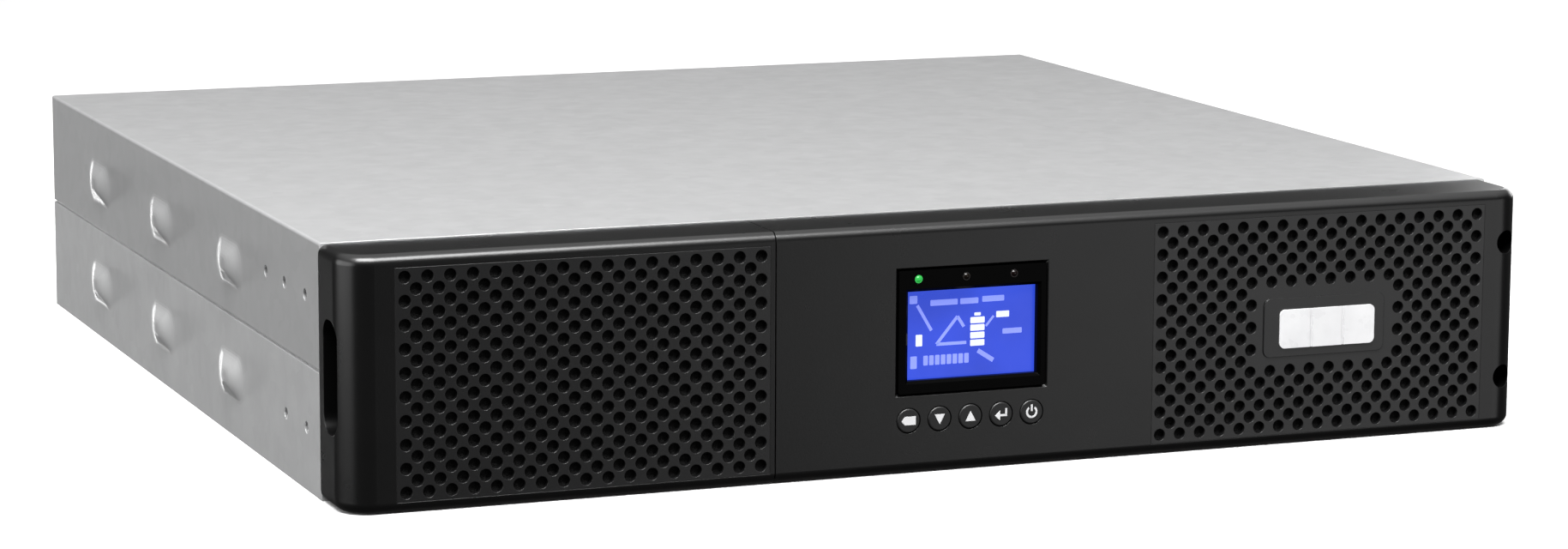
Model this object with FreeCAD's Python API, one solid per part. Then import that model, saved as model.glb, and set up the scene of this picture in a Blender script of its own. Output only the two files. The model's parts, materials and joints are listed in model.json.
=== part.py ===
import FreeCAD, Part
import math
import os

V = FreeCAD.Vector

# A 2U rack uninterruptible power supply, in millimetres.
# X runs to the right seen from the front, Y from the front to the rear, Z up.
# The origin is at the centre of the footprint, on the surface that the unit stands on.

# Driving dimensions
WIDTH = 438.0                  # over the bezel; only the side domes stand further out
DEPTH = 438.0
HEIGHT = 86.5
SHEET = 1.2                    # steel sheet of the chassis
BEND_R = 1.1                   # outer radius of its bends
SIDE = WIDTH / 2 - 0.4         # outer face of a side sheet; the domes stand out of it
METAL_FRONT = -181.0           # front face of the inner front plate
SHELL_FRONT = -190.0           # front edge of the outer sheets, where the bezel meets them
METAL_REAR = DEPTH / 2 - 4.0   # outer face of the rear panel; screws stand 4 mm out of it
SEAM_Z = HEIGHT / 2            # seam between the tray and the top cover
SEAM_GAP = 1.1
BEZEL_FRONT = 1.0 - DEPTH / 2  # face of the bezel; the badge stands 1 mm out of it
BEZEL_LOW = 0.4
BEZEL_HIGH = 86.1
BEZEL_WALL = 2.2
BEZEL_EDGE_R = 3.5             # long front edges of the bezel
BEZEL_END_R = 11.0             # upright front corners of the bezel
COVER_SEAM = -68.5             # middle of the gap between battery cover and fixed bezel
COVER_GAP = 0.4
SCREW_R = 2.0
SCREW_HOLE_R = 2.1

SIDE_INNER = SIDE - SHEET
FLOOR = SHEET
CEILING = HEIGHT - SHEET
BEZEL_BACK_OF_FACE = BEZEL_FRONT + BEZEL_WALL
PANEL_INNER = METAL_REAR - SHEET

# Pressed domes and ear screw holes in the side sheets
DOME_Y = (129.0, 28.0, -73.0)
DOME_LOW_Z = 21.7
DOME_HIGH_Z = 62.0
DOME_LENGTH = 38.0
DOME_HEIGHT = 17.5
DOME_RISE = 3.0
DOME_END_FLANK = 17.5
DOME_LONG_FLANK = 7.5
DOME_STEPS = 8
EAR_HOLE_R = 2.1
EAR_Y = (-146.0, -172.0)
EAR_LOW_Z = 21.5
EAR_HIGH_Z = 66.5
SPARE_EAR_Y = -122.0

# Bezel fixings and the finger slot in the battery cover's end
TAB_LOW = 84.0
TAB_HIGH = 85.1
COVER_TAB_X = (-190.0, -96.0)
BEZEL_TAB_X = (-20.0, 120.0)
END_SCREW_X = 212.4
END_SCREW_Z = (18.7, 67.5)
END_WELL_R = 4.2
END_PILLAR_R = 5.6
END_PILLAR_TIP_R = 3.4
END_SCREW_SEAT_Y = SHELL_FRONT - 3.0
SLOT_Y = (-210.0, -195.0)
SLOT_Z = (24.8, 63.0)
SLOT_R = 6.0

# Grilles
HOLE_R = 2.12
GRILLE_COLUMNS = 17
GRILLE_ROWS = 10
GRILLE_PITCH_X = 7.76
GRILLE_PITCH_Z = 7.94
GRILLE_Z = 42.7
LEFT_GRILLE_X = -135.8
RIGHT_GRILLE_X = 137.5
GRILLE_HALF_WIDTH = 65.3
GRILLE_HALF_HEIGHT = 38.9
BADGE_PAD = (115.2, 162.7, 31.7, 52.5)
FILTER_THICKNESS = 3.0

# Display and buttons
DISPLAY = (-23.8, 31.0, 27.9, 70.4)
DISPLAY_WINDOW = (-20.1, 28.2, 32.2, 63.0)
DISPLAY_RIM = 0.9
BOARD_Y = -208.0
BOARD_THICKNESS = 1.6
LED_R = 1.4
LED_Z = 67.4
GREEN_LED_X = -16.6
UNLIT_LED_X = (1.1, 18.9)
BUTTON_NAMES = ("escape", "down", "up", "enter", "power")
BUTTON_X = 3.2
BUTTON_PITCH = 11.5
BUTTON_Z = 18.6
BUTTON_R = 4.2
BUTTON_GAP = 0.25
BUTTON_TRAVEL = 1.1
SWITCH_TIP = BOARD_Y - 4.0
RIBBON_SLOT_X = (-49.0, -39.0)
RIBBON_Z = 45.0

# Battery drawer
BAY_LEFT = -212.0
BAY_RIGHT = -74.0
BAY_TOP = 75.5
TRAY_CLEARANCE = 0.5
TRAY_Z = FLOOR + 1.4
BLOCK_SIZE = (134.0, 67.0, 60.0)
BLOCK_PITCH = 67.3
BLOCK_FRONT = -176.0
BLOCKS = 4
BAY_REAR_WALL_Y = 106.5
TAB_HEIGHT = 6.2
WIRE_R = 1.8
DRAWER_FLANGE_Y = -182.4
DRAWER_SCREW_Z = 79.5
DRAWER_SCREW_INSET = 22.0
HANDLE_Z = 34.0
HANDLE_HALF = 36.0
HANDLE_REACH = 21.0
PLUG_X = -143.0
PLUG_Z = 30.0

# Electronics
BOARD_Z = 8.0
POWER_BOARD = (-60.0, 206.0, -168.0, 180.0)
CONTROL_BOARD = (-46.2, -44.6, -150.0, 60.0)
HEATSINK_X = (40.0, 180.0)
HEATSINK_Y = (-140.0, 90.0)
HEATSINK_Z = (14.0, 72.0)

# Rear panel
FAN_X = 170.0
FAN_Z = HEIGHT / 2
FAN_SIZE = 80.0
FAN_DEPTH = 25.0
FAN_HOLE = 35.75
FAN_BORE_R = 38.0
ROTOR_R = 37.0
HUB_R = 18.0
GUARD_WIRE = 1.8
OUTLET_X = (24.0, 57.0, 90.0)
OUTLET_Z = (27.0, 59.5)
INLET_X = -14.0
INLET_Z = 43.25
DATA_X = -50.0
USB_Z = 66.0
SERIAL_Z = 45.0
REMOTE_Z = 20.0
BATTERY_PORT_X = -95.0
BATTERY_PORT_Z = 43.25
CARD_SLOT = (-197.0, -128.0, 23.0, 61.0)
GROUND_X = 117.0
GROUND_Z = 14.0
REAR_SCREW_X = (-206.0, -112.0, 117.0)
REAR_SCREW_LOW_Z = 7.0
REAR_SCREW_HIGH_Z = 80.0


# Helpers ---------------------------------------------------------------------------------

def box(x0, x1, y0, y1, z0, z1):
    return Part.makeBox(x1 - x0, y1 - y0, z1 - z0, V(x0, y0, z0))


def rod_x(y, z, r, x0, x1):
    return Part.makeCylinder(r, x1 - x0, V(x0, y, z), V(1, 0, 0))


def rod_y(x, z, r, y0, y1):
    return Part.makeCylinder(r, y1 - y0, V(x, y0, z), V(0, 1, 0))


def rod_z(x, y, r, z0, z1):
    return Part.makeCylinder(r, z1 - z0, V(x, y, z0), V(0, 0, 1))


def join(shapes):
    first, *rest = shapes
    return first.multiFuse(rest).removeSplitter() if rest else first


def group(shapes):
    return Part.makeCompound(shapes)


def cut(shape, tools):
    return shape.cut(tools)


def round_edges(shape, radius, chosen):
    return shape.makeFillet(radius, [e for e in shape.Edges if chosen(e)])


def all_at(edge, axis, value):
    """Whether every end of the edge has this coordinate."""
    return all(abs(getattr(v.Point, axis) - value) < 1e-4 for v in edge.Vertexes)


def upright(edge):
    """Whether the edge is a straight one along Z."""
    a, b = edge.Vertexes[0].Point, edge.Vertexes[-1].Point
    return abs(a.x - b.x) < 1e-4 and abs(a.y - b.y) < 1e-4 and abs(a.z - b.z) > 1e-4


def along_x(edge):
    a, b = edge.Vertexes[0].Point, edge.Vertexes[-1].Point
    return abs(a.y - b.y) < 1e-4 and abs(a.z - b.z) < 1e-4 and abs(a.x - b.x) > 1e-4


def along_y(edge):
    a, b = edge.Vertexes[0].Point, edge.Vertexes[-1].Point
    return abs(a.x - b.x) < 1e-4 and abs(a.z - b.z) < 1e-4 and abs(a.y - b.y) > 1e-4


def panel_block(x0, x1, z0, z1, y0, y1, radius):
    """A block seen from the front as a rectangle with rounded corners."""
    return round_edges(box(x0, x1, y0, y1, z0, z1), radius, along_y)


def circle_wire(x, y, z, r):
    return Part.Wire([Part.makeCircle(r, V(x, y, z), V(0, 1, 0))])


def rectangle_wire(x0, x1, z0, z1, y):
    return Part.makePolygon([V(x0, y, z0), V(x1, y, z0), V(x1, y, z1), V(x0, y, z1), V(x0, y, z0)])


def perforated(x0, x1, z0, z1, y0, y1, holes, r):
    """A flat plate across Y with round holes at the given (x, z) places."""
    wires = [rectangle_wire(x0, x1, z0, z1, y0)] + [circle_wire(x, y0, z, r) for x, z in holes]
    return Part.makeFace(wires, "Part::FaceMakerBullseye").extrude(V(0, y1 - y0, 0))


def lattice(x_mid, z_mid, columns, rows, pitch_x, pitch_z):
    """Rows of holes with a staggered row between each two."""
    places = []
    for r in range(2 * rows - 1):
        staggered = r % 2
        z = z_mid + (r - (rows - 1)) * pitch_z / 2
        for c in range(columns - staggered):
            places.append((x_mid + (c - (columns - 1 - staggered) / 2) * pitch_x, z))
    return places


def screw_y(x, z, head_y, shank_end_y, head_r=3.6, head=2.2):
    """A pan-head screw along Y, its head outside head_y, with a cross recess."""
    out = -1 if shank_end_y > head_y else 1
    low, high = sorted((head_y, head_y + out * head))
    shank_low, shank_high = sorted((head_y, shank_end_y))
    body = join([rod_y(x, z, head_r, low, high), rod_y(x, z, SCREW_R, shank_low, shank_high)])
    face = head_y + out * head
    recess_low, recess_high = sorted((face, face - out * 1.1))
    arm = head_r * 0.62
    cross = [box(x - arm, x + arm, recess_low, recess_high, z - 0.45, z + 0.45),
             box(x - 0.45, x + 0.45, recess_low, recess_high, z - arm, z + arm)]
    return cut(body, cross)


def tube(points, radius, bend):
    """A round wire or cable through the points, with an arc at each turn."""
    places = [V(*p) for p in points]
    edges = []
    start = places[0]
    for before, corner, after in zip(places, places[1:], places[2:]):
        back = (before - corner).normalize()
        ahead = (after - corner).normalize()
        half = (math.pi - back.getAngle(ahead)) / 2
        reach = bend * math.tan(half)
        middle = (back + ahead).normalize()
        arc_mid = corner + middle * (bend / math.cos(half) - bend)
        enter = corner + back * reach
        leave = corner + ahead * reach
        edges.append(Part.LineSegment(start, enter).toShape())
        edges.append(Part.Arc(enter, arc_mid, leave).toShape())
        start = leave
    edges.append(Part.LineSegment(start, places[-1]).toShape())
    path = Part.Wire(edges)
    section = Part.Wire([Part.makeCircle(radius, places[0], places[1] - places[0])])
    return path.makePipeShell([section], True, False)


def save(name, shape):
    shape.exportStep("parts/" + name + ".step")


# Chassis ---------------------------------------------------------------------------------

def obround(x, y, z, length, height):
    """The outline of a dome on a side sheet, at x."""
    half = length / 2 - height / 2
    r = height / 2
    top = Part.LineSegment(V(x, y - half, z + r), V(x, y + half, z + r))
    rear = Part.Arc(V(x, y + half, z + r), V(x, y + half + r, z), V(x, y + half, z - r))
    bottom = Part.LineSegment(V(x, y + half, z - r), V(x, y - half, z - r))
    front = Part.Arc(V(x, y - half, z - r), V(x, y - half - r, z), V(x, y - half, z + r))
    return Part.Wire([s.toShape() for s in (top, rear, bottom, front)])


def dome(side, y, z, depth_in, inset):
    """A smooth swelling of the side sheet; its profile is half a wave of a cosine."""
    outlines = []
    for i in range(DOME_STEPS + 1):
        share = i / DOME_STEPS
        rise = DOME_RISE * (1 - math.cos(math.pi * share)) / 2
        length = DOME_LENGTH - 2 * (DOME_END_FLANK * share + inset)
        height = DOME_HEIGHT - 2 * (DOME_LONG_FLANK * share + inset)
        outlines.append(obround(side * (SIDE - depth_in + rise), y, z, length, height))
    return Part.makeLoft(outlines, True, True)


def side_sheet(side, z0, z1, y0, y1, dome_z):
    """One upright side sheet with its row of hollow domes."""
    x0, x1 = sorted((side * SIDE_INNER, side * SIDE))
    sheet = box(x0, x1, y0, y1, z0, z1)
    for y in DOME_Y:
        sheet = sheet.fuse(dome(side, y, dome_z, 0.0, 0.0))
        sheet = sheet.cut(dome(side, y, dome_z, SHEET, 0.3))
    return sheet


def ear_holes(side, z, places):
    x0, x1 = sorted((side * (SIDE_INNER - 2.0), side * (SIDE + 1.0)))
    return [rod_x(y, z, EAR_HOLE_R, x0, x1) for y in places]


def rear_bend(edge):
    """Whether the edge is an upright outer one where a side sheet meets the rear."""
    at_side = all_at(edge, "x", SIDE) or all_at(edge, "x", -SIDE)
    return at_side and upright(edge) and all_at(edge, "y", METAL_REAR)


def top_bend(edge):
    """Whether the edge is a long outer one where a side sheet meets the top."""
    at_side = all_at(edge, "x", SIDE) or all_at(edge, "x", -SIDE)
    return at_side and along_y(edge) and all_at(edge, "z", HEIGHT)


def chassis_base():
    floor = box(-SIDE, SIDE, SHELL_FRONT, METAL_REAR, 0, SHEET)
    seam = SEAM_Z - SEAM_GAP / 2
    pieces = [floor]
    lap = SIDE_INNER - 0.1
    for side in (-1, 1):
        pieces.append(side_sheet(side, 0, seam, SHELL_FRONT, METAL_REAR, DOME_LOW_Z))
        inner = side * (lap - SHEET)
        # the lap is a strip inside the side sheet that reaches up behind the top cover
        for outer, z0, z1 in ((SIDE_INNER, 34.0, seam), (lap, seam, 52.0)):
            x0, x1 = sorted((inner, side * outer))
            pieces.append(box(x0, x1, SHELL_FRONT, PANEL_INNER, z0, z1))
    for x0, x1 in ((-210.0, -60.0), (100.0, 126.0)):
        pieces.append(box(x0, x1, PANEL_INNER - SHEET, PANEL_INNER, FLOOR, 13.0))
    body = round_edges(join(pieces), BEND_R, rear_bend)
    holes = ear_holes(-1, EAR_LOW_Z, EAR_Y) + ear_holes(1, EAR_LOW_Z, EAR_Y)
    for x in REAR_SCREW_X:
        holes.append(rod_y(x, REAR_SCREW_LOW_Z, SCREW_HOLE_R, PANEL_INNER - 5, PANEL_INNER + 1))
    return cut(body, holes)


def top_cover():
    top = box(-SIDE, SIDE, SHELL_FRONT, METAL_REAR, CEILING, HEIGHT)
    seam = SEAM_Z + SEAM_GAP / 2
    pieces = [top]
    for side in (-1, 1):
        pieces.append(side_sheet(side, seam, HEIGHT, SHELL_FRONT, METAL_REAR, DOME_HIGH_Z))
    pieces.append(box(-210.0, 126.0, PANEL_INNER - SHEET, PANEL_INNER, 74.0, HEIGHT - 0.6))
    body = round_edges(join(pieces), BEND_R, lambda e: top_bend(e) or rear_bend(e))
    ears = EAR_Y + (SPARE_EAR_Y,)
    holes = ear_holes(-1, EAR_HIGH_Z, ears) + ear_holes(1, EAR_HIGH_Z, ears)
    for x in REAR_SCREW_X:
        holes.append(rod_y(x, REAR_SCREW_HIGH_Z, SCREW_HOLE_R, PANEL_INNER - 5, PANEL_INNER + 1))
    return cut(body, holes)


def rear_panel():
    vents = lattice(GROUND_X, 48.0, 3, 5, 6.5, 8.0)
    plate = perforated(-SIDE_INNER, SIDE_INNER, FLOOR, CEILING, PANEL_INNER, METAL_REAR, vents, 1.9)
    y0 = PANEL_INNER - 1
    y1 = METAL_REAR + 1
    tools = [rod_y(FAN_X, FAN_Z, FAN_BORE_R, y0, y1)]
    for x, z in fan_corners():
        tools.append(rod_y(x, z, SCREW_HOLE_R, y0, y1))
    for x in OUTLET_X:
        for z in OUTLET_Z:
            tools.append(box(x - 14.0, x + 14.0, y0, y1, z - 10.4, z + 10.4))
    tools.append(box(INLET_X - 14.0, INLET_X + 14.0, y0, y1, INLET_Z - 10.4, INLET_Z + 10.4))
    tools.append(box(DATA_X - 6.1, DATA_X + 6.1, y0, y1, USB_Z - 5.6, USB_Z + 5.6))
    tools.append(box(DATA_X - 10.1, DATA_X + 10.1, y0, y1, SERIAL_Z - 6.1, SERIAL_Z + 6.1))
    tools.append(box(DATA_X - 6.7, DATA_X + 6.7, y0, y1, REMOTE_Z - 6.1, REMOTE_Z + 6.1))
    port = (BATTERY_PORT_X - 12.1, BATTERY_PORT_X + 12.1, y0, y1)
    tools.append(box(*port, BATTERY_PORT_Z - 9.1, BATTERY_PORT_Z + 9.1))
    x0, x1, z0, z1 = CARD_SLOT
    tools.append(box(x0, x1, y0, y1, z0, z1))
    for x in (x0 - 5.0, x1 + 5.0):
        tools.append(rod_y(x, (z0 + z1) / 2, SCREW_HOLE_R, y0, y1))
    for x in REAR_SCREW_X:
        for z in (REAR_SCREW_LOW_Z, REAR_SCREW_HIGH_Z):
            tools.append(rod_y(x, z, SCREW_HOLE_R, y0, y1))
    tools.append(rod_y(GROUND_X, GROUND_Z + 6, SCREW_HOLE_R, y0, y1))
    return cut(plate, tools)


def front_plate():
    right = SIDE_INNER - SHEET - 0.2
    vents = lattice(140.0, GRILLE_Z, 13, 8, 9.0, 9.0)
    y1 = METAL_FRONT + SHEET
    plate = perforated(-right, right, FLOOR, CEILING - 0.1, METAL_FRONT, y1, vents, 2.6)
    foot = box(BAY_RIGHT + 4, right, y1, y1 + 10, FLOOR, FLOOR + SHEET)
    tools = [box(BAY_LEFT, BAY_RIGHT, METAL_FRONT - 1, y1 + 1, 0, BAY_TOP)]
    for x in drawer_screw_x():
        tools.append(rod_y(x, DRAWER_SCREW_Z, SCREW_HOLE_R, METAL_FRONT - 1, y1 + 1))
    for x in COVER_TAB_X + BEZEL_TAB_X:
        tools.append(box(x - 6.3, x + 6.3, METAL_FRONT - 1, y1 + 1, TAB_LOW - 0.25, CEILING))
    tools.append(box(*RIBBON_SLOT_X, METAL_FRONT - 1, y1 + 1, RIBBON_Z - 12, RIBBON_Z + 12))
    for z in END_SCREW_Z:
        tools.append(rod_y(END_SCREW_X, z, SCREW_HOLE_R, METAL_FRONT - 1, y1 + 1))
    return cut(join([plate, foot]), tools)


def bay_wall():
    """One bent sheet: the divider beside the batteries and the wall behind them."""
    x0 = BAY_RIGHT + 1.8
    front = METAL_FRONT + SHEET
    top = CEILING - 0.2
    divider = box(x0, x0 + SHEET, front, PANEL_INNER - 2, FLOOR, top)
    foot = box(x0, x0 + 10, front + 12, PANEL_INNER - 2, FLOOR, FLOOR + SHEET)
    left = -(SIDE_INNER - SHEET - 0.2)
    behind = box(left, x0 + SHEET, BAY_REAR_WALL_Y, BAY_REAR_WALL_Y + SHEET, FLOOR, top)
    body = join([divider, foot, behind])
    tools = [box(PLUG_X - 20.1, PLUG_X + 20.1, BAY_REAR_WALL_Y - 1, BAY_REAR_WALL_Y + 3,
                 PLUG_Z - 11.1, PLUG_Z + 11.1)]
    tools.append(box(x0 - 1, x0 + 3, 134.0, 160.0, PLUG_Z - 6, PLUG_Z + 6))
    return cut(body, tools)


def glide_strips():
    rear = BAY_REAR_WALL_Y - 4
    return group([box(x - 4, x + 4, METAL_FRONT + 8, rear, FLOOR, TRAY_Z - 0.1)
                  for x in (-198.0, -88.0)])


def panel_screws():
    screws = []
    for x in REAR_SCREW_X:
        for z in (REAR_SCREW_LOW_Z, REAR_SCREW_HIGH_Z):
            screws.append(screw_y(x, z, METAL_REAR, PANEL_INNER - 4))
    x0, x1, z0, z1 = CARD_SLOT
    for x in (x0 - 5.0, x1 + 5.0):
        screws.append(screw_y(x, (z0 + z1) / 2, METAL_REAR + SHEET, PANEL_INNER - 4))
    for x, z in fan_corners():
        screws.append(screw_y(x, z, METAL_REAR + GUARD_WIRE, PANEL_INNER - 12))
    return group(screws)


def ground_stud():
    """An M4 stud with a hexagon nut and a star washer."""
    z = GROUND_Z + 6
    stud = rod_y(GROUND_X, z, SCREW_R, PANEL_INNER - 3, METAL_REAR + 3.9)
    inner_head = rod_y(GROUND_X, z, 4.0, PANEL_INNER - 5, PANEL_INNER)
    washer = rod_y(GROUND_X, z, 4.4, METAL_REAR, METAL_REAR + 0.6)
    corners = []
    for i in range(7):
        a = math.radians(60 * i)
        corners.append(V(GROUND_X + 4.0 * math.cos(a), METAL_REAR + 0.6, z + 4.0 * math.sin(a)))
    nut = Part.Face(Part.makePolygon(corners)).extrude(V(0, 2.2, 0))
    return join([stud, inner_head, washer, nut])


# Bezel -----------------------------------------------------------------------------------

def drawer_screw_x():
    return (BAY_LEFT + DRAWER_SCREW_INSET, BAY_RIGHT - DRAWER_SCREW_INSET)


def bezel_block(x0, x1, end_x, y0, y1, z0, z1, corner_r, edge_r):
    """A block with its upright front corner at end_x and its long front edges rounded."""
    def end_corner(e):
        return upright(e) and all_at(e, "x", end_x) and all_at(e, "y", y0)

    body = round_edges(box(x0, x1, y0, y1, z0, z1), corner_r, end_corner)
    if edge_r:
        seam_x = x0 if end_x == x1 else x1

        def long_edge(e):
            level = all_at(e, "z", z0) or all_at(e, "z", z1)
            return level and not all_at(e, "y", y1) and not all_at(e, "x", seam_x)

        body = round_edges(body, edge_r, long_edge)
    return body


def bezel_outer(x0, x1, end_x):
    """The outer form of one part of the bezel, as a full block."""
    return bezel_block(x0, x1, end_x, BEZEL_FRONT, SHELL_FRONT, BEZEL_LOW, BEZEL_HIGH,
                       BEZEL_END_R, BEZEL_EDGE_R)


def bezel_shell(x0, x1, end_x):
    """An open-backed shell: face, top, bottom and both ends."""
    w = BEZEL_WALL
    outer = bezel_outer(x0, x1, end_x)
    inner_end = end_x - w if end_x == x1 else end_x + w
    inner = bezel_block(x0 + w, x1 - w, inner_end, BEZEL_FRONT + w, SHELL_FRONT + 1,
                        BEZEL_LOW + w, BEZEL_HIGH - w, BEZEL_END_R - w, 0)
    return outer.cut(inner)


def top_tabs(places):
    """Moulded snap tabs that reach back under the top cover and through the front plate."""
    y0 = SHELL_FRONT - 6
    y1 = METAL_FRONT + 7
    return [box(x - 6, x + 6, y0, y1, TAB_LOW, TAB_HIGH) for x in places]


def grille_window(x_mid, y1):
    return box(x_mid - GRILLE_HALF_WIDTH, x_mid + GRILLE_HALF_WIDTH, BEZEL_FRONT - 1, y1,
               GRILLE_Z - GRILLE_HALF_HEIGHT, GRILLE_Z + GRILLE_HALF_HEIGHT)


def grille(x_mid, keep_out=None):
    """The perforated face of a grille; no hole comes near the keep-out rectangle."""
    holes = lattice(x_mid, GRILLE_Z, GRILLE_COLUMNS, GRILLE_ROWS, GRILLE_PITCH_X, GRILLE_PITCH_Z)
    if keep_out:
        x0, x1, z0, z1 = keep_out
        holes = [(x, z) for x, z in holes
                 if not (x0 - HOLE_R < x < x1 + HOLE_R and z0 - HOLE_R < z < z1 + HOLE_R)]
    return perforated(x_mid - GRILLE_HALF_WIDTH, x_mid + GRILLE_HALF_WIDTH,
                      GRILLE_Z - GRILLE_HALF_HEIGHT, GRILLE_Z + GRILLE_HALF_HEIGHT,
                      BEZEL_FRONT, BEZEL_BACK_OF_FACE, holes, HOLE_R)


def dust_filter(x_mid):
    y0 = BEZEL_BACK_OF_FACE + 0.1
    return box(x_mid - GRILLE_HALF_WIDTH + 0.7, x_mid + GRILLE_HALF_WIDTH - 0.7, y0,
               y0 + FILTER_THICKNESS, BEZEL_LOW + BEZEL_WALL + 0.3, BEZEL_HIGH - BEZEL_WALL - 0.3)


def finger_slot(x0, x1):
    """The slot in the cover's end, rounded in all four corners."""
    return round_edges(box(x0, x1, *SLOT_Y, *SLOT_Z), SLOT_R, along_x)


def battery_cover():
    left = -WIDTH / 2
    right = COVER_SEAM - COVER_GAP / 2
    inner = left + BEZEL_WALL
    y0, y1 = SLOT_Y
    z0, z1 = SLOT_Z
    pocket = box(inner - 0.5, inner + 12.0, y0 - 2, y1 + 2, z0 - 2, z1 + 2)
    low_tab = box(-150.0, -136.0, SHELL_FRONT - 6, METAL_FRONT + 7, FLOOR + 0.15, FLOOR + 1.25)
    body = join([bezel_shell(left, right, left), pocket, low_tab] + top_tabs(COVER_TAB_X))
    hollow = finger_slot(left - 1, inner + 10.0)
    return cut(body, [hollow, grille_window(LEFT_GRILLE_X, BEZEL_BACK_OF_FACE + 0.5)])


def display_bosses():
    return ((-45.0, 12.5), (37.0, 12.5), (-45.0, 73.0), (37.0, 73.0))


def button_places():
    return [BUTTON_X + (i - 2) * BUTTON_PITCH for i in range(len(BUTTON_NAMES))]


def display_opening():
    """The opening for the display frame, with a bevelled rim."""
    x0, x1, z0, z1 = DISPLAY
    g = 0.1
    far_g = g + DISPLAY_RIM
    hole = box(x0 - g, x1 + g, BEZEL_FRONT - 1, BEZEL_BACK_OF_FACE + 1, z0 - g, z1 + g)
    far = rectangle_wire(x0 - far_g, x1 + far_g, z0 - far_g, z1 + far_g, BEZEL_FRONT)
    near = rectangle_wire(x0 - g, x1 + g, z0 - g, z1 + g, BEZEL_FRONT + DISPLAY_RIM)
    return [hole, Part.makeLoft([Part.Wire(far), Part.Wire(near)], True, True)]


def main_bezel():
    left = COVER_SEAM + COVER_GAP / 2
    right = WIDTH / 2
    pieces = [bezel_shell(left, right, right)] + top_tabs(BEZEL_TAB_X)
    tools = [grille_window(RIGHT_GRILLE_X, BEZEL_BACK_OF_FACE + 0.5)] + display_opening()
    outer = bezel_outer(left, right, right)
    for z in END_SCREW_Z:
        pillar = rod_y(END_SCREW_X, z, END_PILLAR_R, BEZEL_BACK_OF_FACE - 0.2, SHELL_FRONT)
        pieces.append(pillar.common(outer))
        pieces.append(rod_y(END_SCREW_X, z, END_PILLAR_TIP_R, SHELL_FRONT - 0.5, METAL_FRONT))
        tools.append(rod_y(END_SCREW_X, z, END_WELL_R, BEZEL_FRONT - 1, END_SCREW_SEAT_Y))
        tools.append(rod_y(END_SCREW_X, z, SCREW_HOLE_R, END_SCREW_SEAT_Y - 1, METAL_FRONT + 1))
    for x, z in display_bosses():
        pieces.append(rod_y(x, z, 3.2, BEZEL_BACK_OF_FACE, BOARD_Y))
        tools.append(rod_y(x, z, 1.3, BOARD_Y - 5, BOARD_Y + 1))
    for x in button_places():
        hole_r = BUTTON_R + BUTTON_GAP
        tools.append(rod_y(x, BUTTON_Z, hole_r, BEZEL_FRONT - 1, BEZEL_BACK_OF_FACE + 1))
    return cut(join(pieces), tools)


def right_grille():
    plate = grille(RIGHT_GRILLE_X, BADGE_PAD)
    x0, x1, z0, z1 = BADGE_PAD
    pad = panel_block(x0, x1, z0, z1, BEZEL_FRONT - 0.5, BEZEL_FRONT + 1, 2.5)
    seat = panel_block(x0 + 6, x1 - 4, z0 + 3, z1 - 4, BEZEL_FRONT - 1, BEZEL_FRONT, 2.0)
    return join([plate, pad]).cut(seat)


def badge():
    """A plain plate with two upright grooves; it carries no mark."""
    x0, x1, z0, z1 = BADGE_PAD
    plate = panel_block(x0 + 6, x1 - 4, z0 + 3, z1 - 4, BEZEL_FRONT - 1.0, BEZEL_FRONT, 2.0)
    width = x1 - x0 - 10
    grooves = []
    for share in (1 / 3, 2 / 3):
        x = x0 + 6 + width * share
        grooves.append(box(x - 0.5, x + 0.5, BEZEL_FRONT - 1.1, BEZEL_FRONT - 0.5, z0 + 2, z1 - 3))
    return cut(plate, grooves)


def bezel_screws():
    return group([screw_y(END_SCREW_X, z, END_SCREW_SEAT_Y, METAL_FRONT + 6) for z in END_SCREW_Z])


# Display and buttons ---------------------------------------------------------------------

def display_frame():
    x0, x1, z0, z1 = DISPLAY
    front = BEZEL_FRONT - 0.3
    ring = round_edges(box(x0, x1, front, BEZEL_BACK_OF_FACE + 0.6, z0, z1), 0.8, along_y)
    wx0, wx1, wz0, wz1 = DISPLAY_WINDOW
    lip = 1.0
    near = Part.Wire(rectangle_wire(wx0 - lip, wx1 + lip, wz0 - lip, wz1 + lip, front))
    far = Part.Wire(rectangle_wire(wx0, wx1, wz0, wz1, front + lip))
    tools = [box(wx0, wx1, front - 1, BEZEL_BACK_OF_FACE + 1, wz0, wz1)]
    tools.append(Part.makeLoft([near, far], True, True))
    for x in (GREEN_LED_X,) + UNLIT_LED_X:
        tools.append(rod_y(x, LED_Z, LED_R + 0.05, front - 1, BEZEL_BACK_OF_FACE + 1))
    return cut(ring, tools)


def lcd_panel():
    x0, x1, z0, z1 = DISPLAY_WINDOW
    front = BEZEL_BACK_OF_FACE + 0.6
    glass = box(x0 - 1.5, x1 + 1.5, front, front + 2.0, z0 - 1.5, z1 + 1.5)
    backlight = box(x0 - 2.5, x1 + 2.5, front + 2.0, BOARD_Y, z0 - 2.5, z1 + 2.5)
    return join([glass, backlight])


def led(x):
    """A light pipe with a domed end, from the board to the display frame's face."""
    front = BEZEL_FRONT - 0.3
    body = rod_y(x, LED_Z, LED_R, front, BOARD_Y)
    dome = Part.makeSphere(LED_R, V(x, front + 0.9, LED_Z)).common(
        box(x - 2, x + 2, front - 1, front, LED_Z - 2, LED_Z + 2))
    return join([body, dome])


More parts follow.
